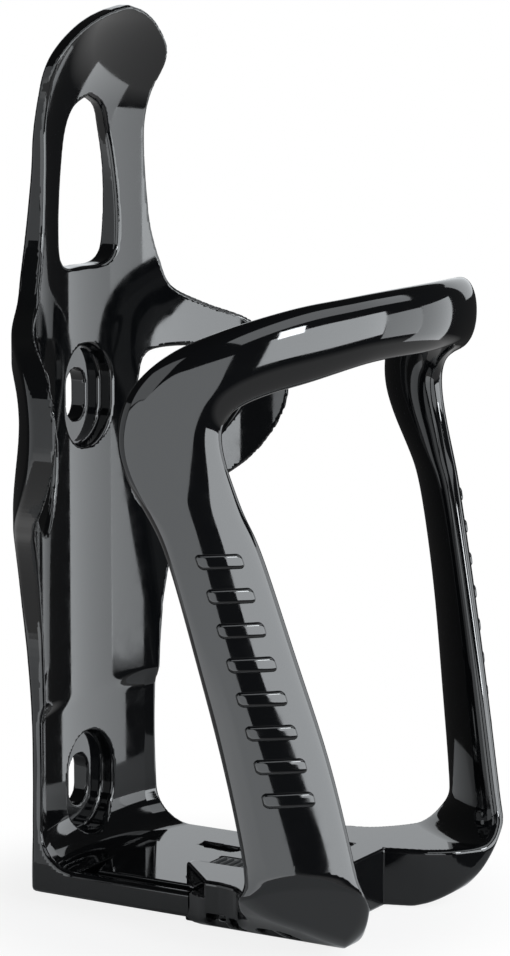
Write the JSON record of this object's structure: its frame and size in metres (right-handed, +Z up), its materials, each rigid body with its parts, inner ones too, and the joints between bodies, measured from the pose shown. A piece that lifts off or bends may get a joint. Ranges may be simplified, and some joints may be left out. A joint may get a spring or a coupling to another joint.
{
  "type": "bicycle bottle cage",
  "caption": "Moulded plastic bicycle bottle cage: a back frame with a hooked top and a front hoop that slides on its tray, held by a press lever.",
  "frame": {"origin": "midway between the two bolt slots, on the plane that lies against the bicycle frame", "axes": "+Z up along the bottle, +Y towards the bicycle frame, +X across the cage"},
  "size_m": [0.0858, 0.0699, 0.1433],
  "materials": {
    "black_plastic": "glossy injection moulded",
    "lever_plastic": "fine texture",
    "pin_steel": "ground",
    "spring_steel": "rolled"
  },
  "bodies": {
    "frame": {"back_frame": "black_plastic"},
    "hoop": {"front_hoop": "black_plastic", "lever_pin": "pin_steel", "lever_spring": "spring_steel"},
    "lever": {"lock_lever": "lever_plastic"}
  },
  "joints": [
    {"name": "hoop_slide", "type": "slide", "parent": "frame", "child": "hoop", "axis": [0, -1, 0], "range_m": [0, 0.015]},
    {"name": "lever_press", "type": "hinge", "parent": "hoop", "child": "lever", "pos_m": [-0.0042, -0.0426, -0.0419], "axis": [-1, 0, 0], "range_deg": [0, 6.2], "stiffness_Nm_per_rad": 0.2, "springref_deg": -2.86, "deforming": ["lever_spring"]}
  ]
}
